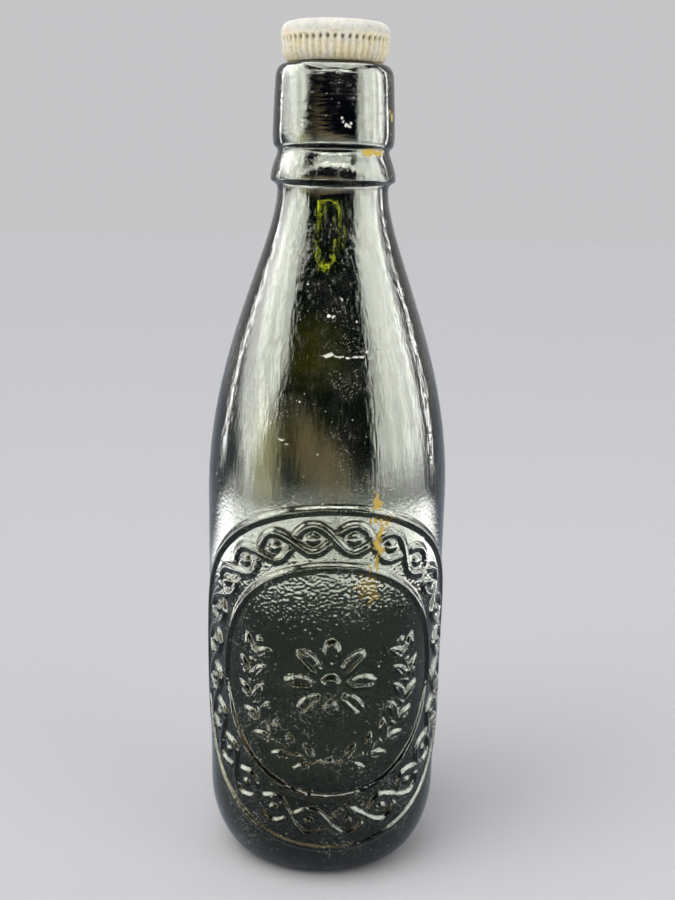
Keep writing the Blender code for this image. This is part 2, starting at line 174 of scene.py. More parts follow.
def outer_radius(z):
    """Outer radius at a height, read off the dense outline."""
    return np.interp(z, OUTER[:, 1], OUTER[:, 0])


def unevenness(phi, z, seed):
    """Waves of hand-finished glass, 0 to 1: a mean of sines whose waves run 15 to 70 mm at mixed slants."""
    total = np.zeros(np.broadcast(phi, z).shape)
    for number, (around, along, weight) in enumerate(GLASS_WAVES):
        total += weight * np.sin(around * phi + along * z + seed * (number + 1) * WAVE_SHIFT)
    return 0.5 + total / WAVE_SPAN


def bar(distance, half_width, height, flank):
    """Raised bar with a level crown: height times the eased share of the flank that lies inside the half
    width."""
    return height * eased((half_width - np.abs(distance)) / flank)


def blade(inward, across, rim, crease, run_out):
    """Carved leaf or petal: its height times the eased way in from the rim, less a crease along its middle
    that is exp(-(across / width)^2) deep."""
    groove = CREASE_DEPTH * np.exp(-(across / crease) ** 2) * eased(inward / run_out)
    return BLADE_HEIGHT * eased(inward / rim) - groove


def guilloche(rho, theta):
    """Two strands plaited round the band, BAND_MIDDLE +- swing sin(n theta). At every second crossing a
    strand stops short of the other, which passes over it. A bead sits in each eye."""
    swing, tilt = BAND_SWING * np.sin(BAND_WAVES * theta), np.cos(BAND_WAVES * theta)
    stretch = np.sqrt(1 + (BAND_SWING * BAND_WAVES * tilt / BAND_MIDDLE) ** 2)
    first, second = (rho - BAND_MIDDLE - swing) / stretch, (rho - BAND_MIDDLE + swing) / stretch
    clear_of_second = eased((np.abs(second) - STRAND_GAP) / STRAND_FADE)
    clear_of_first = eased((np.abs(first) - STRAND_GAP) / STRAND_FADE)
    over = bar(first, *STRAND_BAR) * np.where(tilt < 0, clear_of_second, 1)
    under = bar(second, *STRAND_BAR) * np.where(tilt > 0, clear_of_first, 1)
    eye = math.pi / BAND_WAVES
    around = (np.mod(theta, eye) - eye / 2) * BAND_MIDDLE
    return np.maximum(np.maximum(over, under), bar(np.hypot(rho - BAND_MIDDLE, around), *BEAD_DOT))


def rosette(rho, theta):
    """Petals, each an ellipse along its own ray with a crease, round a domed boss."""
    turn = TAU / PETALS
    ray = np.mod(theta + turn / 2, turn) - turn / 2
    along, across = rho * np.cos(ray), rho * np.sin(ray)
    reach = np.hypot((along - PETAL_MIDDLE) / PETAL_HALF_LENGTH, across / PETAL_HALF_WIDTH)
    return np.maximum(blade(1 - reach, across, *PETAL_CARVING), bar(rho, *BOSS_DOT))


def wreath(rho, theta):
    """Two laurel sprays from a knot at the bottom up both sides: lens-shaped leaves in pairs, aslant on a
    thin stem, each with a crease, and a berry between pairs."""
    from_bottom = np.abs(np.mod(theta + math.pi / 2 + math.pi, TAU) - math.pi)
    arc = from_bottom * WREATH
    height = bar(rho - WREATH, *STEM_BAR) * eased((STEM_END - arc) / STEM_FADE)
    height = height * eased((arc - STEM_START) / STEM_FADE)
    for pair in range(LEAF_PAIRS):
        middle = FIRST_PAIR + LEAF_SPACING * pair
        for side in (1, -1):
            lean = LEAF_LEAN * side
            x, y = arc - middle, rho - WREATH - LEAF_OFFSET * side
            along = x * math.cos(lean) + y * math.sin(lean)
            across = y * math.cos(lean) - x * math.sin(lean)
            inward = 1 - (along / LEAF_HALF_LENGTH) ** 2 - np.abs(across) / LEAF_HALF_WIDTH
            height = np.maximum(height, blade(inward, across, *LEAF_CARVING))
        height = np.maximum(height, bar(np.hypot(arc - middle - BERRY_OFFSET, rho - WREATH), *BERRY_DOT))
    return np.maximum(height, bar(np.hypot(arc, rho - WREATH), *KNOT_DOT))


def relief(rho, theta):
    """Height of the medallion above the body: two ring ridges, the plaited band, the wreath and the
    rosette."""
    height = np.maximum(rosette(rho, theta), wreath(rho, theta))
    for ring in RINGS:
        height = np.maximum(height, bar(rho - ring, *RING_BAR))
    within = eased((BAND_HALF_WIDTH - np.abs(rho - BAND_MIDDLE)) / BAND_FADE)
    return np.maximum(height, guilloche(rho, theta) * within)


class Skin:
    """Points, faces and marks of one closed surface, gathered grid by grid. A face's points run so that
    columns times rows points outwards."""

    def __init__(self):
        self.points, self.marks, self.faces, self.count = [], [], [], 0

    def add(self, points, marks=0.0):
        """Takes an array of points, with a mark for each or for all, and returns their numbers in the same
        shape."""
        first, shape = self.count, points.shape[:-1]
        self.count += int(np.prod(shape))
        self.points.append(points.reshape(-1, 3))
        self.marks.append(np.broadcast_to(marks, shape).reshape(-1))
        return np.arange(first, self.count).reshape(shape)

    def sheet(self, grid, closed=True):
        """Four-sided faces between neighbouring rows and columns of a grid of point numbers."""
        ahead = np.roll(grid, -1, 1) if closed else grid[:, 1:]
        here = grid if closed else grid[:, :-1]
        self.faces.append(np.stack([here[:-1], ahead[:-1], ahead[1:], here[1:]], -1).reshape(-1, 4))

    def halve(self, fine, coarse, fine_first=True):
        """Three triangles for each point of a ring that has half as many points as the ring before or after
        it."""
        first, middle, last = fine[0::2], fine[1::2], np.roll(fine[0::2], -1)
        near, far = coarse, np.roll(coarse, -1)
        corners = ((first, middle, near), (middle, far, near), (middle, last, far))
        threes = np.concatenate([np.stack(three, -1) for three in corners])
        self.faces.append(threes if fine_first else threes[:, ::-1])

    def cap(self, ring, pole, pole_first=False):
        """Triangles from a ring to one point."""
        ends = (ring, np.roll(ring, -1), np.full(len(ring), pole))
        self.faces.append(np.stack(ends[::-1] if pole_first else ends, -1))

    def finish(self, name, material, mark_name):
        """Makes the object, smooth shaded, with its marks as an attribute."""
        mesh = bpy.data.meshes.new(name)
        faces = list(itertools.chain.from_iterable(block.tolist() for block in self.faces))
        mesh.from_pydata((np.concatenate(self.points) * MM).tolist(), [], faces)
        marks = np.concatenate(self.marks).astype(np.float32)
        mesh.attributes.new(mark_name, "FLOAT", "POINT").data.foreach_set("value", marks)
        mesh.shade_smooth()
        mesh.materials.append(material)
        obj = bpy.data.objects.new(name, mesh)
        bpy.context.scene.collection.objects.link(obj)
        return obj


def turned(line, phi, radius=None):
    """Every point (radius, height) of a line carried round the axis: (r cos phi, r sin phi, z). The radius
    may be given for each point instead."""
    height = line[:, 1, None]
    radius = line[:, 0, None] if radius is None else radius
    return np.stack(np.broadcast_arrays(radius * np.cos(phi), radius * np.sin(phi), height), -1)


def thread_gap(phi, z):
    """Height above the nearest turn of the right-hand thread, and how many turns up that turn is."""
    turns = np.mod(phi, TAU) / TAU
    low = MOUTH + THREAD_BOTTOM
    number = np.round((z - low) / PITCH - turns)
    return z - low - (turns + number) * PITCH, turns + number


def on_body(u, z, height):
    """A point of the body's outside: u along the unrolled surface, z up, and a height along the outward
    normal, whose slope is the outline's over a millimetre."""
    phi = MEDALLION_TURN + u / FOOT_RADIUS
    slope = outer_radius(z + 0.5) - outer_radius(z - 0.5)
    out, up = 1 / np.hypot(1, slope), -slope / np.hypot(1, slope)
    lift = height - OUTER_WAVE * unevenness(phi, z, OUTER_SEED)
    across = outer_radius(z) + lift * out
    return np.stack([across * np.cos(phi), across * np.sin(phi), z + lift * up], -1)


def medallion(skin):
    """Polar grid of the front: rays turn clockwise from the lower left corner, rings grow from the centre
    and the outermost is drawn out to a square. Returns the numbers of the square's points."""
    rays = 4 * SIDE
    theta = FIRST_RAY - np.arange(rays) * TAU / rays

    def rings(radii, rays_used):
        rho, turn = np.broadcast_arrays(radii[:, None], rays_used[None, :])
        height = relief(rho, turn)
        return skin.add(on_body(rho * np.cos(turn), MEDALLION_HEIGHT + rho * np.sin(turn), height), height)

    disc = rings(np.linspace(*DISC_RINGS), theta[::2])
    band = rings(np.concatenate([np.linspace(*part) for part in BAND_RINGS]), theta)
    crown = relief(np.zeros(1), np.zeros(1))
    centre = skin.add(on_body(np.zeros(1), np.full(1, MEDALLION_HEIGHT), crown), crown)
    skin.cap(disc[0], centre[0], pole_first=True)
    skin.sheet(disc)
    skin.halve(band[0], disc[-1], fine_first=False)
    step = np.linspace(-PANEL, PANEL, SIDE, endpoint=False)
    edge = np.full(SIDE, PANEL)
    sideways = np.concatenate([-edge, step, edge, -step])
    upwards = np.concatenate([step, edge, -step, -edge])
    square = np.stack([sideways, upwards], 1)
    circle = SKIRT_RADIUS * np.stack([np.cos(theta), np.sin(theta)], 1)
    spread = np.linspace(0, 1, SKIRT_RINGS)[:, None, None] ** SKIRT_GROWTH
    places = circle * (1 - spread) + square * spread
    skirt = skin.add(on_body(places[..., 0], MEDALLION_HEIGHT + places[..., 1], 0.0))
    skin.sheet(np.concatenate([band, skirt]))
    return skirt[-1]


def finish_line(low):
    """Outline above the medallion: the rest of the shoulder, the splayed collar, and the lip with its
    rounded edge, a quarter of an ellipse."""
    shoulder_z = np.linspace(low + 2, COLLAR_BASE, 42)
    shoulder = np.stack([outer_radius(shoulder_z), shoulder_z], 1)
    side = [(NECK_RADIUS, COLLAR_BASE)]
    for rise, reach in COLLAR_SHARES:
        side.append((NECK_RADIUS + COLLAR_PROJECTION * reach, COLLAR_BASE + COLLAR_HEIGHT * rise))
    for rise, reach in LIP_FOOT_SHARES:
        side.append((NECK_RADIUS + (LIP_RADIUS - NECK_RADIUS) * reach, LIP_BASE + LIP_HEIGHT * rise))
    side.append((LIP_RADIUS - LIP_WAIST, LIP_BASE + LIP_WAIST_SHARE * LIP_HEIGHT))
    edge_centre = (LIP_RADIUS - LIP_SHRINK - LIP_EDGE_WIDTH, MOUTH - LIP_EDGE_HEIGHT)
    edge = ellipse_arc(edge_centre, LIP_EDGE_WIDTH, LIP_EDGE_HEIGHT, 0, 90, 9)
    side.append((edge_centre[0] + LIP_EDGE_WIDTH, edge_centre[1]))
    return np.concatenate([shoulder[:-1], through(side, 5), edge[1:]])


def mouth_line():
    """Inside of the mouth, downwards: the rubber ring's seat, a quarter of an ellipse, the bore that the
    thread is cut in, and a flare that widens as (1 - cos a) / 2."""
    seat_half = (SEAT_RADIUS - BORE_RADIUS) / 2
    seat_centre = (SEAT_RADIUS - seat_half, MOUTH - SEAT_DEPTH / 2)
    seat = ellipse_arc(seat_centre, seat_half, SEAT_DEPTH / 2, 0, -90, 7)
    bore_end = MOUTH + BORE_END
    bore_z = np.linspace(MOUTH - SEAT_DEPTH, bore_end, 61)
    bore = np.stack([np.full(len(bore_z), BORE_RADIUS), bore_z], 1)
    turn = np.linspace(0, math.pi, 10)[1:]
    widening = BORE_RADIUS + (HOLLOW_NECK - BORE_RADIUS) * (1 - np.cos(turn)) / 2
    flare = np.stack([widening, bore_end - FLARE_HEIGHT * turn / math.pi], 1)
    return np.concatenate([seat, bore[1:], flare])


def hollow_line():
    """Inside below the mouth, downwards: shoulder, straight wall, elliptical heel, and a floor that rises
    to the middle as (1 - cos a) / 2."""
    neck_end = MOUTH + BORE_END - FLARE_HEIGHT
    shoulder = shoulder_line(SHOULDER_RADIUS - WALL, HOLLOW_NECK, BODY_HEIGHT, neck_end, 36)[::-1][1:]
    valley = FOOT_RADIUS - WALL - VALLEY_WIDTH
    heel = ellipse_arc((valley, FLOOR_THICKNESS + INNER_HEEL_RISE), VALLEY_WIDTH, INNER_HEEL_RISE, 0, -90, 10)
    wall = np.linspace(shoulder[-1], heel[0], 26)[1:-1]
    share = np.linspace(0, 1, 9)[1:-1]
    rise = PUSH_UP * (1 - np.cos(math.pi * share)) / 2
    return np.concatenate([shoulder, wall, heel, np.stack([valley * (1 - share), FLOOR_THICKNESS + rise], 1)])


def underside_line(high):
    """Outside below the medallion, outwards: the push-up, a quarter of a cosine, the flat bearing ring and
    the start of the elliptical heel."""
    rim = BASE_RADIUS - BEARING_WIDTH
    share = np.linspace(0, 1, 12)[1:]
    push_up = np.stack([rim * share, PUSH_UP * np.cos(math.pi * share / 2)], 1)
    bearing = np.linspace((rim, 0), (BASE_RADIUS, 0), 5)[1:]
    turn = np.linspace(0, math.acos(1 - high / HEEL_HEIGHT), 9)[1:-1]
    heel_z = HEEL_HEIGHT * (1 - np.cos(turn))
    heel = np.stack([BASE_RADIUS + HEEL_WIDTH * np.sqrt(1 - (1 - heel_z / HEEL_HEIGHT) ** 2), heel_z], 1)
    return np.concatenate([push_up, bearing, heel])


def make_bottle(material):
    """The glass as one closed skin: medallion, plain back, finish, threaded bore, hollow and underside. The
    thread's groove reaches SHANK_RADIUS + sqrt(r^2 - gap^2), with the gap to its nearest turn."""
    skin = Skin()
    border = medallion(skin)
    left, top, right = border[:SIDE + 1], border[SIDE:2 * SIDE + 1], border[2 * SIDE:3 * SIDE + 1][::-1]
    bottom = np.append(border[3 * SIDE:], border[0])[::-1]
    low, high = MEDALLION_HEIGHT - PANEL, MEDALLION_HEIGHT + PANEL
    reach = np.linspace(PANEL, TAU * FOOT_RADIUS - PANEL, BACK + 1)
    u, z = np.meshgrid(reach[1:-1], np.linspace(low, high, SIDE + 1))
    back = np.column_stack([right, skin.add(on_body(u, z, 0.0)), left])
    skin.sheet(back, closed=False)
    fine_top, fine_bottom = np.append(top, back[-1, 1:-1]), np.append(bottom, back[0, 1:-1])
    phi = MEDALLION_TURN + np.append(np.linspace(-PANEL, PANEL, SIDE + 1), reach[1:-1])[::2] / FOOT_RADIUS

    outside, mouth, inside = finish_line(high), mouth_line(), hollow_line()
    radius, z = outside[:, 0, None], outside[:, 1, None]
    tube = turned(outside, phi)
    tube[..., :2] *= (1 - OUTER_WAVE * unevenness(phi, z, OUTER_SEED) / radius)[..., None]
    radius, z = mouth[:, 0, None], mouth[:, 1, None]
    gap, _ = thread_gap(phi, z)
    groove = SHANK_RADIUS + np.sqrt(np.clip(GROOVE_RADIUS ** 2 - gap ** 2, 0, None))
    screw = turned(mouth, phi, np.where(z <= MOUTH - SEAT_DEPTH, np.maximum(radius, groove), radius))
    radius, z = inside[:, 0, None], inside[:, 1, None]
    swell = INNER_WAVE * (unevenness(phi, z, INNER_SEED) - 0.5) / np.maximum(radius, INNER_WAVE_RADIUS)
    room = turned(inside, phi)
    room[..., :2] *= (1 + swell)[..., None]
    upper = skin.add(np.concatenate([tube, screw, room]))
    skin.halve(fine_top, upper[0])
    skin.sheet(upper)
    pole = skin.add(np.array([[0, 0, FLOOR_THICKNESS + PUSH_UP]]))
    skin.cap(upper[-1], pole[0])

    lower = skin.add(turned(underside_line(low), phi))
    pole = skin.add(np.array([[0, 0, PUSH_UP]]))
    skin.cap(lower[0], pole[0], pole_first=True)
    skin.sheet(lower)
    skin.halve(fine_bottom, lower[-1], fine_first=False)
    return skin.finish("bottle_dark_glass", material, "relief")


def head_wear(phi, z):
    """Fine crumbling of the old ebonite, -1 to 1: a mean of short slanting sines."""
    total = np.zeros(np.broadcast(phi, z).shape)
    for number, (around, along) in enumerate(CRUMBLE_WAVES):
        total += np.sin(around * phi + along * z + 2.1 * number + 1.3 * np.sin(7 * phi + number))
    return total / len(CRUMBLE_WAVES)


def fluted_head(phi):
    """Points of the head, from its underside to the crown, and their marks: painted shade, by the depth of
    each flute and its notch. Flutes are cut as arcs, sqrt(r^2 - offset^2), that run out below the crown in a
    notch exp(-d^2); ribs between them are worn by sines of their number."""
    side = [(HEAD_RADIUS * reach, HEAD_FOOT + HEAD_HEIGHT * rise) for rise, reach in HEAD_SHARES]
    under = np.linspace((SHANK_RADIUS + 1.6, HEAD_FOOT), (HEAD_RADIUS * UNDER_SHARE, HEAD_FOOT), 5)
    line = np.concatenate([under, [(HEAD_RADIUS * EDGE_SHARE, HEAD_FOOT + EDGE_RISE)], through(side, 7)])
    radius, z = line[:, 0, None], line[:, 1, None]
    offset = (np.mod(phi * FLUTES / TAU, 1) - 0.5) * TAU * HEAD_RADIUS / FLUTES
    rib = np.floor(phi * FLUTES / TAU + 0.5)
    top = HEAD_FOOT + HEAD_HEIGHT * FLUTE_TOP_SHARE
    top = top + FLUTE_TOP_SPREAD * np.sin(rib * 2.4) * np.sin(rib * 0.9)
    depth = np.sqrt(np.clip(FLUTE_RADIUS ** 2 - offset ** 2, 0, None)) - (FLUTE_RADIUS - FLUTE_DEPTH)
    depth = np.clip(depth, 0, None) * eased((top - z) / FLUTE_RUN_OUT)
    depth = depth * eased((z - HEAD_FOOT + FLUTE_RUN_IN) / FLUTE_RUN_IN)
    below_top = np.exp(-((z - top + NOTCH_DROP) / NOTCH_HEIGHT) ** 2)
    notch = NOTCH_DEPTH * below_top * np.exp(-(offset / NOTCH_WIDTH) ** 2)
    worn = RIB_WEAR * (1 + np.sin(rib * 3.7) * np.sin(rib * 1.3))
    worn = worn * eased(z - HEAD_FOOT) * eased((top - z) / RIB_WEAR_RUN_OUT)
    cut = depth + notch + worn + SIDE_WEAR * (1 + head_wear(phi, z))
    on_side = radius > HEAD_RADIUS * SIDE_SHARE
    cut = np.where(on_side, cut, CROWN_WEAR * (1 + head_wear(phi, radius)))
    across = np.where(radius < SHANK_RADIUS + 2, radius, radius - cut)
    # The mark is painted shade: it grows with the flute's depth and is strongest in the notch
    mark = np.clip(0.45 * depth / FLUTE_DEPTH + 3 * notch, 0, 1)
    return turned(line, phi, across), np.where(on_side, mark, 0)


def threaded_shank(phi):
    """Points of the tip, a quarter of an ellipse round a flat, and of the shank with its rib, SHANK_RADIUS
    + sqrt(r^2 - gap^2), which grows in over its first and out over its last part of a turn."""
    tip = ellipse_arc((SHANK_RADIUS - TIP_WIDTH, MOUTH + SHANK_END), TIP_WIDTH, TIP_LENGTH, -90, 0, 8)
    flat = np.linspace((TIP_FLAT, tip[0, 1]), tip[0], 5)[:-1]
    shank_z = np.linspace(MOUTH + SHANK_END, HEAD_FOOT - 0.4, 84)[1:]
    shank = np.stack([np.full(len(shank_z), SHANK_RADIUS), shank_z], 1)
    line = np.concatenate([flat, tip, shank, [(SHANK_RADIUS + 0.1, HEAD_FOOT)]])
    radius, z = line[:, 0, None], line[:, 1, None]
    gap, turns = thread_gap(phi, z)
    from_end = (THREAD_TOP - THREAD_BOTTOM) / PITCH + THREAD_LEAD - turns
    grown = eased((turns + THREAD_LEAD) / THREAD_RUN_IN) * eased(from_end / THREAD_RUN_IN)
    rib = SHANK_RADIUS + np.sqrt(np.clip((RIB_RADIUS * grown) ** 2 - gap ** 2, 0, None))
    wide = np.maximum(radius, np.where(grown > 0, rib, 0))
    return turned(line, phi, np.where(radius >= SHANK_RADIUS - 0.6, wide, radius))


def make_stopper(material):
    """The stopper as one closed skin: crowned head with cut flutes, plain shank and rounded right-hand
    thread."""
    skin = Skin()
    columns = 8 * FLUTES
    phi = np.arange(columns) * TAU / columns
    coarse, plain = phi[::2], phi[::4]
    head = skin.add(*fluted_head(phi))
    skin.sheet(head)

    crown = [(HEAD_RADIUS * reach, HEAD_FOOT + HEAD_HEIGHT * rise) for rise, reach in CROWN_SHARES]
    disc = skin.add(turned(np.linspace(*crown, 7), coarse))
    skin.halve(head[-1], disc[0])
    skin.sheet(disc)
    pole = skin.add(np.array([[0, 0, crown[-1][1]]]))
    skin.cap(disc[-1], pole[0])

    collar = skin.add(turned(np.array([(SHANK_RADIUS + 0.8, HEAD_FOOT)]), coarse))
    skin.halve(head[0], collar[0], fine_first=False)
    points = threaded_shank(plain)
    shank = skin.add(points)
    skin.sheet(shank)
    skin.halve(collar[0], shank[-1], fine_first=False)
    pole = skin.add(np.array([[0, 0, points[0, 0, 2]]]))
    skin.cap(shank[0], pole[0], pole_first=True)
    # The attribute carries the painted shade of the flutes and notches
    return skin.finish("stopper_ebonite_screw", material, "flute_shade")


def make_rubber_ring(material):
    """The ring: an ellipse carried round the axis."""
    skin = Skin()
    phi = np.arange(96) * TAU / 96
    centre = (RUBBER_RADIUS, HEAD_FOOT - RUBBER_GAP - RUBBER_HEIGHT / 2 + RUBBER_SLACK)
    section = ellipse_arc(centre, RUBBER_WIDTH / 2, RUBBER_HEIGHT / 2 - RUBBER_SLACK, 0, 360, 33)
    ring = skin.add(turned(section[:-1], phi))
    skin.sheet(np.concatenate([ring, ring[:1]]))
    return skin.finish("ring_rubber_seal", material, "wear")


def linear(hex_colour):
    """An sRGB hex value as linear red, green, blue and 1."""
    parts = [int(hex_colour[i:i + 2], 16) / 255 for i in (1, 3, 5)]
    return [p / 12.92 if p <= 0.04045 else ((p + 0.055) / 1.055) ** 2.4 for p in parts] + [1]


SMOOTH = {"interpolation_type": "SMOOTHSTEP"}
COLOUR = {"data_type": "RGBA", "output": 2}


def node(tree, kind, sockets=(), stops=(), output=0, **settings):
    """Adds one node, its kind written without "ShaderNode", with its settings, its ramp's stops and its
    sockets, in order or by name, each a value or the output that it is linked to. Returns one of its own
    outputs."""
    made = tree.nodes.new("ShaderNode" + kind)
    for key, value in settings.items():
        setattr(made, key, value)
    for number, (place, colour) in enumerate(stops):
        elements = made.color_ramp.elements
        element = elements[number] if number < 2 else elements.new(place)
        element.position, element.color = place, colour
    for key, value in sockets.items() if isinstance(sockets, dict) else enumerate(sockets):
        if isinstance(value, bpy.types.NodeSocket):
            tree.links.new(value, made.inputs[key])
        else:
            made.inputs[key].default_value = value
    return made.outputs[output] if made.outputs else None


def new_material(name):
    """A material and its node tree, empty."""
    made = bpy.data.materials.new(name)
    made.use_nodes = True
    made.node_tree.nodes.clear()
    return made, made.node_tree


def mottle(tree, place, x, y, z, detail=2.0, roughness=0.5):
    """Noise, 0 to 1, whose lumps are x, y and z millimetres long."""
    place = node(tree, "Mapping", {"Vector": place, "Scale": (1 / (x * MM), 1 / (y * MM), 1 / (z * MM))})
    return node(tree, "TexNoise", {"Vector": place, "Scale": 1.0, "Detail": detail, "Roughness": roughness})


def spots(tree, place, marks, ragged, squash=(1, 1, 1), core=0.7):
    """1 within each mark, a place and radius in millimetres, and 0 outside. An edge fades from a share of
    the radius, its core, and a noise makes it ragged. Lengths along each axis count as much as squash says,
    so marks come out longer where it is small."""
    shaken = node(tree, "MapRange", (ragged, 0.3, 0.7, 0.4, 1.6), **SMOOTH)
    place = node(tree, "VectorMath", (place, squash), operation="MULTIPLY")
    total = 0.0
    for *centre, radius in marks:
        centre = [part * share * MM for part, share in zip(centre, squash)]
        gap = node(tree, "VectorMath", (place, centre), output="Value", operation="DISTANCE")
        gap = node(tree, "Math", (gap, shaken), operation="MULTIPLY")
        inside = node(tree, "MapRange", (gap, radius * MM, radius * core * MM), **SMOOTH)
        total = node(tree, "Math", (inside, total), operation="MAXIMUM")
    return total


def specks(tree, place, spacing, radius, share):
    """Round specks scattered about one spacing apart: 1 inside the radius, for that share of the cells."""
    gap = node(tree, "TexVoronoi", {"Vector": place, "Scale": 1 / (spacing * MM)})
    chance = node(tree, "SeparateColor", (gap.node.outputs["Color"],))
    chosen = node(tree, "Math", (chance, 1 - share), operation="GREATER_THAN")
    inside = node(tree, "MapRange", (gap, radius / spacing, 0.6 * radius / spacing), **SMOOTH)
    return node(tree, "Math", (inside, chosen), operation="MULTIPLY")


# Places and radii of the old bottle's marks
GOLDEN_STAINS = (
    (14.8, -34.2, 121.5, 1.1), (15.8, -33.7, 120.9, 0.7), (13.2, -34.8, 116.2, 0.5),
    (14.7, -34.2, 116.1, 0.6), (16.2, -33.5, 116.0, 0.6), (18.0, -32.6, 114.9, 0.5),
    (16.5, -33.3, 113.5, 0.8), (16.3, -33.4, 112.0, 0.8), (15.7, -33.7, 110.6, 1.1),
    (15.2, -33.9, 108.8, 1.5), (15.8, -33.6, 107.2, 1.2), (15.3, -33.8, 105.5, 0.8),
    (15.3, -33.7, 103.6, 0.6), (15.1, -33.8, 101.8, 0.6), (13.4, -34.6, 102.2, 0.4),
    (16.5, -7.9, 233.5, 0.5), (17.1, -6.4, 232.2, 0.8),
)
COLLAR_STAINS = (
    (9.4, -14.4, 221.5, 1.3), (10.9, -13.3, 221.6, 1.5), (12.4, -11.9, 221.6, 1.5), (13.8, -10.2, 221.5, 1.3),
)
AMBER_STAINS = ((12.8, -34.7, 96.6, 3.4), (14.3, -34.1, 93.8, 2.4), (17.6, -32.8, 114.9, 2.4))
PALE_MARKS = (
    (2.4, -18.2, 231.0, 0.45), (2.7, -18.2, 229.9, 0.4), (3.6, -18.1, 228.9, 0.5),
    (4.7, -17.8, 228.5, 0.45), (5.0, -17.7, 229.5, 0.4), (-3.9, -17.4, 243.5, 0.25),
    (-3.1, -17.5, 243.5, 0.22), (0.7, -17.8, 243.5, 0.22), (1.6, -17.7, 243.5, 0.25),
    (2.4, -17.6, 243.5, 0.2), (-0.2, -27.0, 174.9, 0.6), (1.0, -27.0, 174.6, 0.5), (3.5, -25.2, 179.4, 0.3),
    (7.9, -26.3, 173.3, 0.3), (11.0, -28.0, 164.8, 0.35), (7.8, -17.0, 231.5, 0.4),
    (8.6, -16.4, 234.0, 0.3), (-9.2, -15.8, 229.0, 0.35),
)
SCRATCH = (
    (-0.8, -30.4, 163.7, 1.3), (0.4, -30.3, 164.0, 1.1), (2.1, -30.4, 163.5, 0.7), (3.8, -30.2, 163.5, 0.8),
    (5.5, -30.0, 163.2, 0.8), (7.8, -29.4, 163.4, 0.9), (9.6, -28.9, 163.4, 0.6), (11.9, -28.2, 163.1, 0.7),
    (-13.3, -33.1, 139.4, 0.9), (-11.9, -33.8, 138.3, 0.7),
)
CROWDED = (
    (5.6, -17.4, 240.0, 3.2), (7.2, -16.8, 235.5, 3.6), (8.4, -16.2, 230.5, 3.0), (-6.8, -16.9, 233.0, 2.4),
    (2.0, -27.2, 176.0, 5.5), (6.5, -28.2, 168.0, 6.0), (-19.0, -30.6, 22.0, 5.0), (17.0, -31.8, 26.0, 5.0),
)
PEACH_STAINS = (
    (-13.9, -8.0, 255.6, 1.5), (-13.4, -9.2, 253.4, 0.8), (-2.9, -16.0, 252.0, 0.8),
    (1.4, -16.1, 252.4, 0.7),
)
# Specks as (spacing, radius, share of places that hold one). The finest lie only where they crowd
SPECK_SIZES = ((6.5, 0.34, 0.45), (2.0, 0.19, 0.5), (0.6, 0.15, 0.6))
FINEST_SPACING = 1

# Depths of the glass's streaks and pits, above the body, on it and on the lip
NECK_STREAKS, BODY_STREAKS, LIP_STREAKS = 0.06, 0.012, 0.05
NECK_PITS, BODY_PITS = 0.02, 0.05
# How far flakes, golden stains and amber stains hide the glass
FLAKE_COVER, GOLDEN_COVER, AMBER_COVER = 0.75, 0.85, 0.6
# The glass's index of refraction, and its absorption as a linear colour and a density
GLASS_IOR, GLASS_HUE, GLASS_DENSITY = 1.52, (0.29, 0.35, 0.0, 1), 750.0


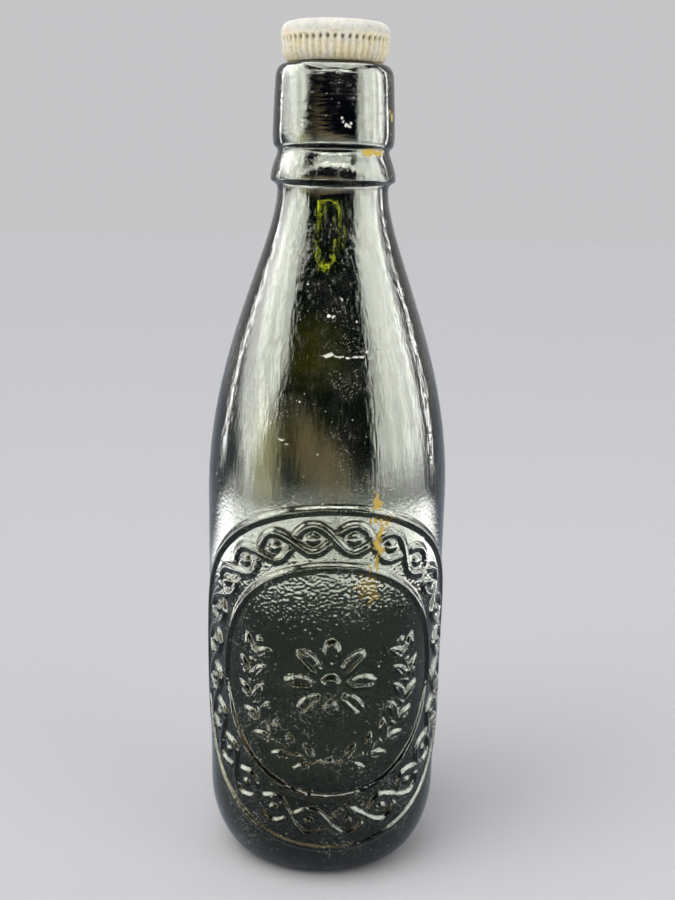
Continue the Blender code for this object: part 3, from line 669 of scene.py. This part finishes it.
def olive_bottle_glass():
    """Dark olive soda-lime glass, blown in a mould and long buried. The stippled skin breaks the edges of
    reflections into sparkles, lines drawn down the neck and tooled round the lip streak them, and chalky
    film, specks, scratches and rust stains lie on top. Pairs such as 0.45, 0.75 are the noise's levels
    where a layer sets in and is full."""
    material, tree = new_material("olive_soda_lime_glass")
    place = node(tree, "TexCoord", output="Object")
    height = node(tree, "SeparateXYZ", (place,), output=2)
    relief_mark = node(tree, "Attribute", output="Fac", attribute_name="relief")
    stipple = mottle(tree, place, 0.9, 0.9, 0.9, 0.0)
    drawn = mottle(tree, place, 0.8, 0.8, 14, 0.6)
    tooled = mottle(tree, place, 3, 3, 0.7, 0.6)
    patches = mottle(tree, place, 14, 14, 14, 3.0, 0.6)
    ragged = mottle(tree, place, 1.4, 1.4, 1.4, 4.0, 0.75)
    on_lip = node(tree, "MapRange", (height, (LIP_BASE + 1.5) * MM, (LIP_BASE + 2.5) * MM), **SMOOTH)
    on_body = node(tree, "MapRange", (height, (BODY_HEIGHT + 10) * MM, (BODY_HEIGHT - 10) * MM), **SMOOTH)

    streak = node(tree, "Mix", {0: on_lip, 2: drawn, 3: tooled})
    deep = node(tree, "MapRange", (on_body, 0, 1, NECK_STREAKS * MM, BODY_STREAKS * MM))
    deep = node(tree, "Mix", {0: on_lip, 2: deep, 3: LIP_STREAKS * MM})
    pitted = node(tree, "MapRange", (on_body, 0, 1, NECK_PITS * MM, BODY_PITS * MM))
    pits = node(tree, "Math", (stipple, pitted), operation="MULTIPLY")
    skin = node(tree, "Math", (streak, deep, pits), operation="MULTIPLY_ADD")
    bump = node(tree, "Bump", {"Height": skin, "Strength": 1.0, "Distance": 1.0})

    golden = spots(tree, place, GOLDEN_STAINS, ragged, (1, 1, 0.6))
    on_collar = spots(tree, place, COLLAR_STAINS, ragged, (1, 1, 1.4))
    golden = node(tree, "Math", (golden, on_collar), operation="MAXIMUM")
    amber = spots(tree, place, AMBER_STAINS, ragged)
    flakes = spots(tree, place, PALE_MARKS, ragged)
    scratch = spots(tree, place, SCRATCH, ragged, (1, 1, 3))
    flakes = node(tree, "Math", (flakes, scratch), operation="MAXIMUM")
    crowded = node(tree, "MapRange", (patches, 0.54, 0.64), **SMOOTH)
    crowd = spots(tree, place, CROWDED, ragged, core=0.2)
    crowded = node(tree, "Math", (crowded, crowd), operation="MAXIMUM")
    for spacing, radius, share in SPECK_SIZES:
        scattered = specks(tree, place, spacing, radius, share)
        if spacing < FINEST_SPACING:
            scattered = node(tree, "Math", (scattered, crowded), operation="MULTIPLY")
        flakes = node(tree, "Math", (flakes, scattered), operation="MAXIMUM")

    # A chalky film lies thinly in patches, and dirt at the foot of the raised work
    most = node(tree, "MapRange", (on_body, 0, 1, 0.06, 0.02))
    thin = node(tree, "MapRange", (patches, 0.45, 0.75, 0.0, most), **SMOOTH)
    wiped = node(tree, "MapRange", (drawn, 0.35, 0.75, 0.3, 1.0))
    film = node(tree, "Math", (thin, wiped), operation="MULTIPLY")
    rising = node(tree, "MapRange", (relief_mark, 0.0, 0.12), **SMOOTH)
    low = node(tree, "MapRange", (relief_mark, 0.6, 0.25), **SMOOTH)
    foot = node(tree, "Math", (rising, low), operation="MULTIPLY")
    dirt = node(tree, "MapRange", (ragged, 0.5, 0.7, 0.0, 0.12), **SMOOTH)
    film = node(tree, "Math", (foot, dirt, film), operation="MULTIPLY_ADD")

    # Each mark hides the glass by its cover. Amber comes last and stays out of `matt`: it colours the
    # polish only.
    dull = film
    for mark, cover in ((flakes, FLAKE_COVER), (golden, GOLDEN_COVER), (amber, AMBER_COVER)):
        matt = dull
        covering = node(tree, "Math", (mark, cover), operation="MULTIPLY")
        dull = node(tree, "Math", (dull, covering), operation="MAXIMUM")

    filmed = node(tree, "MapRange", (dull, 0.0, 0.02))
    tint = node(tree, "Mix", {0: filmed, 6: linear("#F4F8EE"), 7: linear("#B9B49A")}, **COLOUR)
    for mark, colour in ((flakes, "#D9D8CC"), (amber, "#7E6200"), (golden, "#A08200")):
        covered = node(tree, "MapRange", (mark, 0.0, 0.12))
        tint = node(tree, "Mix", {0: covered, 6: tint, 7: linear(colour)}, **COLOUR)
    gloss = node(tree, "MapRange", (patches, 0.3, 0.75, 0.03, 0.07), **SMOOTH)
    brushed = node(tree, "MapRange", (streak, 0.5, 0.75, 0.0, 0.2), **SMOOTH)
    above = node(tree, "MapRange", (on_body, 0, 1, 1.0, 0.2))
    gloss = node(tree, "Math", (brushed, above, gloss), operation="MULTIPLY_ADD")
    rubbed = node(tree, "MapRange", (matt, 0.05, 0.5, 0.0, 0.6), **SMOOTH)
    gloss = node(tree, "Math", (gloss, rubbed))
    shader = node(tree, "BsdfPrincipled", {
        "Base Color": tint, "Roughness": gloss, "IOR": GLASS_IOR, "Specular Tint": linear("#EDF2E2"),
        "Transmission Weight": node(tree, "Math", (1.0, dull), operation="SUBTRACT"), "Normal": bump,
    })
    volume = node(tree, "VolumeAbsorption", {"Color": GLASS_HUE, "Density": GLASS_DENSITY})
    node(tree, "OutputMaterial", {"Surface": shader, "Volume": volume})
    return material


def weathered_ebonite():
    """Vulcanised rubber, turned and long in the open: its skin has gone chalky, yellower down the flutes,
    with painted shade in the grooves and in the notch at the top of each, and peach stains."""
    material, tree = new_material("weathered_ebonite")
    place = node(tree, "TexCoord", output="Object")
    height = node(tree, "SeparateXYZ", (place,), output=2)
    # Painted shade, read off the stopper: the flutes' depth and their notches
    groove = node(tree, "Attribute", output="Fac", attribute_name="flute_shade")
    broad, fine = mottle(tree, place, 5, 5, 5, 3.0), mottle(tree, place, 1, 1, 1, 3.0, 0.6)
    grain = mottle(tree, place, 0.45, 0.45, 0.45)
    flute_top = HEAD_FOOT + HEAD_HEIGHT * FLUTE_TOP_SHARE
    on_crown = node(tree, "MapRange", (height, (flute_top - 0.5) * MM, (flute_top + 1.5) * MM), **SMOOTH)
    chalky = node(tree, "ValToRGB", (broad,), [(0.35, linear("#C2C0B4")), (0.65, linear("#D8D6CA"))])
    yellowed = node(tree, "ValToRGB", (broad,), [(0.38, linear("#E4DFCD")), (0.6, linear("#E6DAB0"))])
    colour = node(tree, "Mix", {0: on_crown, 6: yellowed, 7: chalky}, **COLOUR)
    stains = spots(tree, place, PEACH_STAINS, fine, core=0.3)
    layers = (
        (node(tree, "MapRange", (fine, 0.5, 0.72, 0.0, 0.4), **SMOOTH), "#9A9480"),
        # Painted shade: darker down the flutes and in the notches, by their depth
        (node(tree, "MapRange", (groove, 0.2, 1.0, 0.0, 0.9)), "#4A4232"),
        (specks(tree, place, 1.6, 0.18, 0.4), "#5A5344"),
        (specks(tree, place, 1.9, 0.3, 0.35), "#F0EEE2"),
        (node(tree, "Math", (stains, 0.55), operation="MULTIPLY"), "#EBB877"),
    )
    for share, over in layers:
        colour = node(tree, "Mix", {0: share, 6: colour, 7: linear(over)}, **COLOUR)
    crumbs = node(tree, "Math", (grain, 0.10 * MM), operation="MULTIPLY")
    crumbs = node(tree, "Math", (fine, 0.10 * MM, crumbs), operation="MULTIPLY_ADD")
    bump = node(tree, "Bump", {"Height": crumbs, "Strength": 1.0, "Distance": 1.0})
    rough = node(tree, "MapRange", (fine, 0.3, 0.7, 0.65, 0.9))
    shader = node(tree, "BsdfPrincipled", {
        "Base Color": colour, "Roughness": rough, "Specular IOR Level": 0.15, "Normal": bump,
    })
    node(tree, "OutputMaterial", {"Surface": shader})
    return material


def perished_rubber():
    """Old red-brown rubber, moulded: dull, with a greyish bloom and shallow cracks."""
    material, tree = new_material("perished_rubber")
    place = node(tree, "TexCoord", output="Object")
    bloom, cracks = mottle(tree, place, 3, 3, 3, 3.0), mottle(tree, place, 0.6, 0.6, 2.5, 3.0, 0.7)
    colour = node(tree, "ValToRGB", (bloom,), [(0.35, linear("#2E1B16")), (0.7, linear("#5A4038"))])
    depth = node(tree, "Math", (cracks, 0.12 * MM), operation="MULTIPLY")
    bump = node(tree, "Bump", {"Height": depth, "Strength": 1.0, "Distance": 1.0})
    rough = node(tree, "MapRange", (cracks, 0.3, 0.7, 0.55, 0.8))
    shader = node(tree, "BsdfPrincipled", {"Base Color": colour, "Roughness": rough, "Normal": bump})
    node(tree, "OutputMaterial", {"Surface": shader})
    return material


# The room's colour, and what the glass reflects of it: the floor, and the half behind the camera
ROOM, GLOSS_FLOOR, GLOSS_FRONT = "#CBCBCD", "#A6AEB8", "#5A70B4"
ROOM_LEVEL, GLOSS_FRONT_LEVEL = 0.94, 0.16
FLOOR_RADII = (6000, 1500, 500, 150)


def make_stage():
    """A pale floor that runs into a pale backdrop. In gloss the floor is greyer, and the half of the room
    behind the camera is dim and bluish, so that the dark glass keeps its depth."""
    skin = Skin()
    phi = np.arange(96) * TAU / 96
    disc = skin.add(turned(np.array([(radius, 0) for radius in FLOOR_RADII], float), phi))
    skin.sheet(disc)
    pole = skin.add(np.zeros((1, 3)))
    skin.cap(disc[-1], pole[0])
    material, tree = new_material("studio_floor")
    in_gloss = node(tree, "LightPath", output="Is Glossy Ray")
    colour = node(tree, "Mix", {0: in_gloss, 6: linear(ROOM), 7: linear(GLOSS_FLOOR)}, **COLOUR)
    shader = node(tree, "BsdfPrincipled", {"Base Color": colour, "Roughness": 0.8, "Specular IOR Level": 0.0})
    node(tree, "OutputMaterial", {"Surface": shader})
    skin.finish("studio_floor", material, "wear")

    world = bpy.data.worlds.new("studio")
    world.use_nodes = True
    tree = world.node_tree
    tree.nodes.clear()
    in_gloss = node(tree, "LightPath", output="Is Glossy Ray")
    towards = node(tree, "SeparateXYZ", (node(tree, "TexCoord", output="Generated"),), output=1)
    behind_bottle = node(tree, "MapRange", (towards, -0.2, 0.5), **SMOOTH)
    dimmed = node(tree, "MapRange", (behind_bottle, 0, 1, GLOSS_FRONT_LEVEL, ROOM_LEVEL))
    level = node(tree, "Mix", {0: in_gloss, 2: ROOM_LEVEL, 3: dimmed})
    tinted = node(tree, "Mix", {0: behind_bottle, 6: linear(GLOSS_FRONT), 7: linear(ROOM)}, **COLOUR)
    colour = node(tree, "Mix", {0: in_gloss, 6: linear(ROOM), 7: tinted}, **COLOUR)
    node(tree, "OutputWorld", {"Surface": node(tree, "Background", {"Color": colour, "Strength": level})})
    bpy.context.scene.world = world


def beside(azimuth, distance, height):
    """A place at a compass angle in degrees from the front, positive to the right, at a distance and height
    in metres, and the point of the bottle's axis level with it."""
    angle = math.radians(azimuth)
    return (distance * math.sin(angle), -distance * math.cos(angle), height), (0, 0, height)


def add_lamp(name, kind, place, aim, lean=0, **settings):
    """A lamp at a place, turned to a point, in metres, leaning sideways by an angle in degrees, hidden from
    the camera. Settings go to the lamp or its object."""
    lamp = bpy.data.lights.new(name, kind)
    obj = bpy.data.objects.new(name, lamp)
    bpy.context.scene.collection.objects.link(obj)
    obj.location = place
    obj.rotation_euler = (Vector(aim) - Vector(place)).to_track_quat("-Z", "Y").to_euler()
    obj.rotation_euler.rotate_axis("Z", math.radians(lean))
    obj.visible_camera = False
    for key, value in settings.items():
        setattr(lamp if hasattr(lamp, key) else obj, key, value)
    return lamp


# Noise waves over a card's width and height that make flecks or upright bands, and the dimmest level
FLECKS, BANDS = ((40, 40, 0), 0.0), ((9, 1.5, 0), 0.55)


def add_card(name, place, aim, size, radiance, colour="#FFFFFF", fade=None, ring=None, through=False, lean=0):
    """A soft lamp that only gloss sees, uneven in broad upright bands, or that only shows through glass,
    broken into flecks. It dims towards its edges over shares of its width and height, or glows in a ring
    given as stops of (share of its half width, level), in gloss only in front."""
    width, height = size
    energy = math.pi * width * height * radiance
    seen_by = {"visible_diffuse": False, "visible_glossy": not through, "visible_transmission": through}
    lamp = add_lamp(name, "AREA", place, aim, lean, shape="RECTANGLE", size=width, size_y=height,
                    energy=energy, color=linear(colour)[:3], visible_volume_scatter=False, **seen_by)
    lamp.use_nodes = True
    tree = lamp.node_tree
    tree.nodes.clear()
    across = node(tree, "NewGeometry", output="Parametric")
    split = node(tree, "SeparateXYZ", (across,)).node.outputs
    if ring:
        reach = node(tree, "VectorMath", (across, (0.5, 0.5, 0)), output="Value", operation="DISTANCE")
        reach = node(tree, "Math", (reach, 2.0), operation="MULTIPLY")
        stops = [(share, (level, level, level, 1)) for share, level in ring]
        sides = [node(tree, "ValToRGB", (reach,), stops)]
        if not through:
            sides.append(node(tree, "MapRange", (split[1], 0.60, 0.53), **SMOOTH))
    else:
        folded = [node(tree, "Math", (split[axis], 0.5), operation="PINGPONG") for axis in (0, 1)]
        sides = [node(tree, "MapRange", (share, 0.0, edge), **SMOOTH) for share, edge in zip(folded, fade)]
    waves, dimmest = FLECKS if through else BANDS
    spread = node(tree, "VectorMath", (across, waves), operation="MULTIPLY")
    uneven = node(tree, "TexNoise", {"Vector": spread, "Scale": 1.0, "Detail": 1.0})
    sides.append(node(tree, "MapRange", (uneven, 0.35, 0.6, dimmest, 1.0), **SMOOTH))
    level = 1.0
    for side in sides:
        level = node(tree, "Math", (level, side), operation="MULTIPLY")
    node(tree, "OutputLight", {"Surface": node(tree, "Emission", {"Strength": level})})


def make_lights():
    """Plain soft light on everything, and cards that only show as reflections in the glass, placed where
    the photograph's own highlights point: a softbox and a strip each side, the left softbox aslant, cards
    above and close over the collar, an olive one low on the left, a warm one low in front, and a glow on
    the floor round the front. Two more only show through the glass, in its neck and its shoulder."""
    unseen = {"visible_glossy": False, "visible_transmission": False}
    add_lamp("sky_soft", "SUN", (-0.5, -0.6, 1.4), (0, 0, 0), energy=1.4, angle=math.radians(50), **unseen)
    fill_size, fill_radiance = 0.8, 1.2
    energy = math.pi * fill_size ** 2 * fill_radiance
    for name, azimuth in (("left_fill", -50), ("right_fill", 50)):
        place, _ = beside(azimuth, 1.1, 0.75)
        add_lamp(name, "AREA", place, (0, 0, 0.15), shape="SQUARE", size=fill_size, energy=energy, **unseen)

    near = 0.53
    add_card("left_softbox", *beside(-90, near, 0.52), (0.76, 1.0), radiance=18.0, fade=(0.3, 0.16), lean=47)
    add_card("right_softbox", *beside(75.5, near, 0.375), (0.76, 0.76), radiance=16.5, fade=(0.24, 0.22))
    add_card("olive_card", *beside(-60, near, 0.13), (0.5, 0.3), radiance=9.0, colour="#D8CFA8",
             fade=(0.5, 0.3))
    for name, azimuth in (("left_strip", -118), ("right_strip", 118)):
        add_card(name, *beside(azimuth, 0.60, 0.39), (0.06, 0.72), radiance=15.0, fade=(0.2, 0.1))
    over_collar, _ = beside(0, 0.13, 0.30)
    add_card("collar_card", over_collar, (0, 0, 0.217), (0.40, 0.032), radiance=26.0, fade=(0.4, 0.4))
    add_card("top_card", (0, -0.32, 1.1), (0, -0.32, 0), (1.5, 1.54), radiance=14.0, fade=(0.1, 0.05))
    add_card("warm_card", *beside(-8, 0.7, 0.15), (1.3, 0.32), radiance=6.0, colour="#B09A78",
             fade=(0.4, 0.35), lean=-14)
    floor_ring = [(0.2, 0.0), (0.213, 1.0), (0.3, 0.9), (0.4, 0.2), (1.0, 0.0)]
    add_card("floor_glow", (0, 0, 0.003), (0, 0, 1), (3.2, 3.2), radiance=16.0, ring=floor_ring)
    glint_ring = [(0.86, 0.0), (0.9, 1.0), (0.96, 1.0), (1.0, 0.0)]
    add_card("neck_glint", (-0.0022, 0.030, 0.196), (-0.0022, -1, 0.196), (0.0105, 0.021), radiance=220.0,
             colour="#FFD890", ring=glint_ring, through=True)
    add_card("shoulder_glow", (-0.007, 0.045, 0.158), (-0.007, -1, 0.158), (0.034, 0.034), radiance=8.0,
             colour="#FFD090", fade=(0.5, 0.5), through=True)


# The photograph's view, fitted to the bottle's outline and rings: metres, radians and millimetres of film
CAMERA_PLACE = (0.00305, -0.4169, 0.2104)
CAMERA_PITCH, CAMERA_ROLL = math.radians(10.864), math.radians(1.163)
FOCAL_LENGTH, SENSOR_WIDTH = 54.0, 36.0


def make_camera():
    """The camera looks down by its pitch and is turned round its line of sight by its roll."""
    pitch, roll = CAMERA_PITCH, CAMERA_ROLL
    forward = np.array([0, math.cos(pitch), -math.sin(pitch)])
    level_up, level_right = np.array([0, math.sin(pitch), math.cos(pitch)]), np.array([1.0, 0, 0])
    right = level_right * math.cos(roll) + level_up * math.sin(roll)
    up = level_up * math.cos(roll) - level_right * math.sin(roll)
    camera = bpy.data.cameras.new("camera")
    camera.lens, camera.sensor_width = FOCAL_LENGTH, SENSOR_WIDTH
    obj = bpy.data.objects.new("camera", camera)
    bpy.context.scene.collection.objects.link(obj)
    turn = Matrix(np.stack([right, up, -forward], 1).tolist()).to_4x4()
    obj.matrix_world = Matrix.Translation(CAMERA_PLACE) @ turn
    bpy.context.scene.camera = obj


def main():
    """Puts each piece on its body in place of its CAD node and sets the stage."""
    pieces = (
        (make_bottle(olive_bottle_glass()), "bottle", "glass_bottle", "bottle_glass"),
        (make_stopper(weathered_ebonite()), "stopper", "screw_stopper", "stopper_ebonite"),
        (make_rubber_ring(perished_rubber()), "ring", "rubber_ring", "ring_rubber"),
    )
    for piece, body, cad_node, slot in pieces:
        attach(piece, body)
        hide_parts(cad_node)
    make_stage()
    make_lights()
    make_camera()
    bpy.context.scene.view_settings.view_transform = "Standard"


main()
